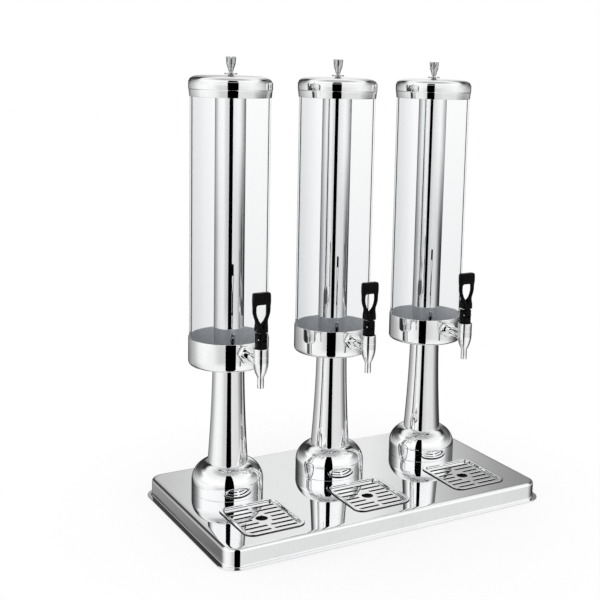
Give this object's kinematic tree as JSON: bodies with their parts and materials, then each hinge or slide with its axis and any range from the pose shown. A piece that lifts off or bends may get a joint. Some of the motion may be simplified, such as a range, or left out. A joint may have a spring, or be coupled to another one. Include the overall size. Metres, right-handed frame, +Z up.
{
  "type": "triple juice dispenser",
  "caption": "Juice dispenser with clear towers on domed feet, a polished base, self-closing lever taps and drop-in drip trays.",
  "frame": {"origin": "middle of the footprint, at the soles of the feet", "axes": "+Z up, -Y towards the taps and drip trays, +X from the left tower to the right tower"},
  "size_m": [0.487, 0.285, 0.6053],
  "materials": {
    "polished_steel": "mirror-polished stainless steel",
    "plated_brass": "polished chrome plating",
    "plain_steel": "plain stainless steel",
    "clear_plastic": "clear glossy polycarbonate",
    "black_plastic": "moulded, glossy",
    "black_rubber": "moulded, matte",
    "pale_rubber": "food-grade silicone, satin"
  },
  "bodies": {
    "dispenser": {"base_shell": "polished_steel", "feet": "black_rubber", "foot_studs": "plain_steel", "tie_rods": "plain_steel", "rod_nuts": "plain_steel", "tank_seals": "black_rubber", "tap_nuts": "plain_steel", "tap_washers": "pale_rubber", "dome_left": "polished_steel", "dome_middle": "polished_steel", "dome_right": "polished_steel", "column_left": "polished_steel", "column_middle": "polished_steel", "column_right": "polished_steel", "cup_left": "polished_steel", "cup_middle": "polished_steel", "cup_right": "polished_steel", "tank_left": "clear_plastic", "tank_middle": "clear_plastic", "tank_right": "clear_plastic", "collar_left": "polished_steel", "collar_middle": "polished_steel", "collar_right": "polished_steel", "tap_body_left": "plated_brass", "tap_body_middle": "plated_brass", "tap_body_right": "plated_brass", "bonnet_left": "black_plastic", "bonnet_middle": "black_plastic", "bonnet_right": "black_plastic", "lever_pin_left": "plain_steel", "lever_pin_middle": "plain_steel", "lever_pin_right": "plain_steel", "spring_left": "plain_steel", "spring_middle": "plain_steel", "spring_right": "plain_steel"},
    "ice_tube_left": {"ice_tube_left": "polished_steel"},
    "lid_left": {"lid_left": "polished_steel", "knob_left": "polished_steel"},
    "lever_left": {"lever_left": "black_plastic"},
    "stem_left": {"stem_left": "plain_steel", "seat_cup_left": "pale_rubber"},
    "drip_tray_left": {"drip_tray_left": "polished_steel"},
    "drip_grille_left": {"drip_grille_left": "polished_steel"},
    "ice_tube_middle": {"ice_tube_middle": "polished_steel"},
    "lid_middle": {"lid_middle": "polished_steel", "knob_middle": "polished_steel"},
    "lever_middle": {"lever_middle": "black_plastic"},
    "stem_middle": {"stem_middle": "plain_steel", "seat_cup_middle": "pale_rubber"},
    "drip_tray_middle": {"drip_tray_middle": "polished_steel"},
    "drip_grille_middle": {"drip_grille_middle": "polished_steel"},
    "ice_tube_right": {"ice_tube_right": "polished_steel"},
    "lid_right": {"lid_right": "polished_steel", "knob_right": "polished_steel"},
    "lever_right": {"lever_right": "black_plastic"},
    "stem_right": {"stem_right": "plain_steel", "seat_cup_right": "pale_rubber"},
    "drip_tray_right": {"drip_tray_right": "polished_steel"},
    "drip_grille_right": {"drip_grille_right": "polished_steel"}
  },
  "joints": [
    {"name": "ice_tube_lift_left", "type": "slide", "parent": "dispenser", "child": "ice_tube_left", "axis": [0, 0, 1], "range_m": [0, 0.36]},
    {"name": "lid_lift_left", "type": "slide", "parent": "ice_tube_left", "child": "lid_left", "axis": [0, 0, 1], "range_m": [0, 0.1]},
    {"name": "lever_pull_left", "type": "hinge", "parent": "dispenser", "child": "lever_left", "pos_m": [-0.158, -0.0588, 0.2569], "axis": [1, 0, 0], "range_deg": [0, 25], "stiffness_Nm_per_rad": 0.5},
    {"name": "stem_lift_left", "type": "slide", "parent": "dispenser", "child": "stem_left", "axis": [0, 0, 1], "range_m": [0, 0.0032], "deforming": ["spring_left"]},
    {"name": "drip_tray_lift_left", "type": "slide", "parent": "dispenser", "child": "drip_tray_left", "axis": [0, 0, 1], "range_m": [0, 0.05]},
    {"name": "drip_grille_lift_left", "type": "slide", "parent": "drip_tray_left", "child": "drip_grille_left", "axis": [0, 0, 1], "range_m": [0, 0.03]},
    {"name": "ice_tube_lift_middle", "type": "slide", "parent": "dispenser", "child": "ice_tube_middle", "axis": [0, 0, 1], "range_m": [0, 0.36]},
    {"name": "lid_lift_middle", "type": "slide", "parent": "ice_tube_middle", "child": "lid_middle", "axis": [0, 0, 1], "range_m": [0, 0.1]},
    {"name": "lever_pull_middle", "type": "hinge", "parent": "dispenser", "child": "lever_middle", "pos_m": [0, -0.0588, 0.2569], "axis": [1, 0, 0], "range_deg": [0, 25], "stiffness_Nm_per_rad": 0.5},
    {"name": "stem_lift_middle", "type": "slide", "parent": "dispenser", "child": "stem_middle", "axis": [0, 0, 1], "range_m": [0, 0.0032], "deforming": ["spring_middle"]},
    {"name": "drip_tray_lift_middle", "type": "slide", "parent": "dispenser", "child": "drip_tray_middle", "axis": [0, 0, 1], "range_m": [0, 0.05]},
    {"name": "drip_grille_lift_middle", "type": "slide", "parent": "drip_tray_middle", "child": "drip_grille_middle", "axis": [0, 0, 1], "range_m": [0, 0.03]},
    {"name": "ice_tube_lift_right", "type": "slide", "parent": "dispenser", "child": "ice_tube_right", "axis": [0, 0, 1], "range_m": [0, 0.36]},
    {"name": "lid_lift_right", "type": "slide", "parent": "ice_tube_right", "child": "lid_right", "axis": [0, 0, 1], "range_m": [0, 0.1]},
    {"name": "lever_pull_right", "type": "hinge", "parent": "dispenser", "child": "lever_right", "pos_m": [0.158, -0.0588, 0.2569], "axis": [1, 0, 0], "range_deg": [0, 25], "stiffness_Nm_per_rad": 0.5},
    {"name": "stem_lift_right", "type": "slide", "parent": "dispenser", "child": "stem_right", "axis": [0, 0, 1], "range_m": [0, 0.0032], "deforming": ["spring_right"]},
    {"name": "drip_tray_lift_right", "type": "slide", "parent": "dispenser", "child": "drip_tray_right", "axis": [0, 0, 1], "range_m": [0, 0.05]},
    {"name": "drip_grille_lift_right", "type": "slide", "parent": "drip_tray_right", "child": "drip_grille_right", "axis": [0, 0, 1], "range_m": [0, 0.03]}
  ],
  "couplings": [
    {"joint": "stem_lift_left", "follows": "lever_pull_left", "m_per_rad": 0.0071},
    {"joint": "stem_lift_middle", "follows": "lever_pull_middle", "m_per_rad": 0.0071},
    {"joint": "stem_lift_right", "follows": "lever_pull_right", "m_per_rad": 0.0071}
  ]
}
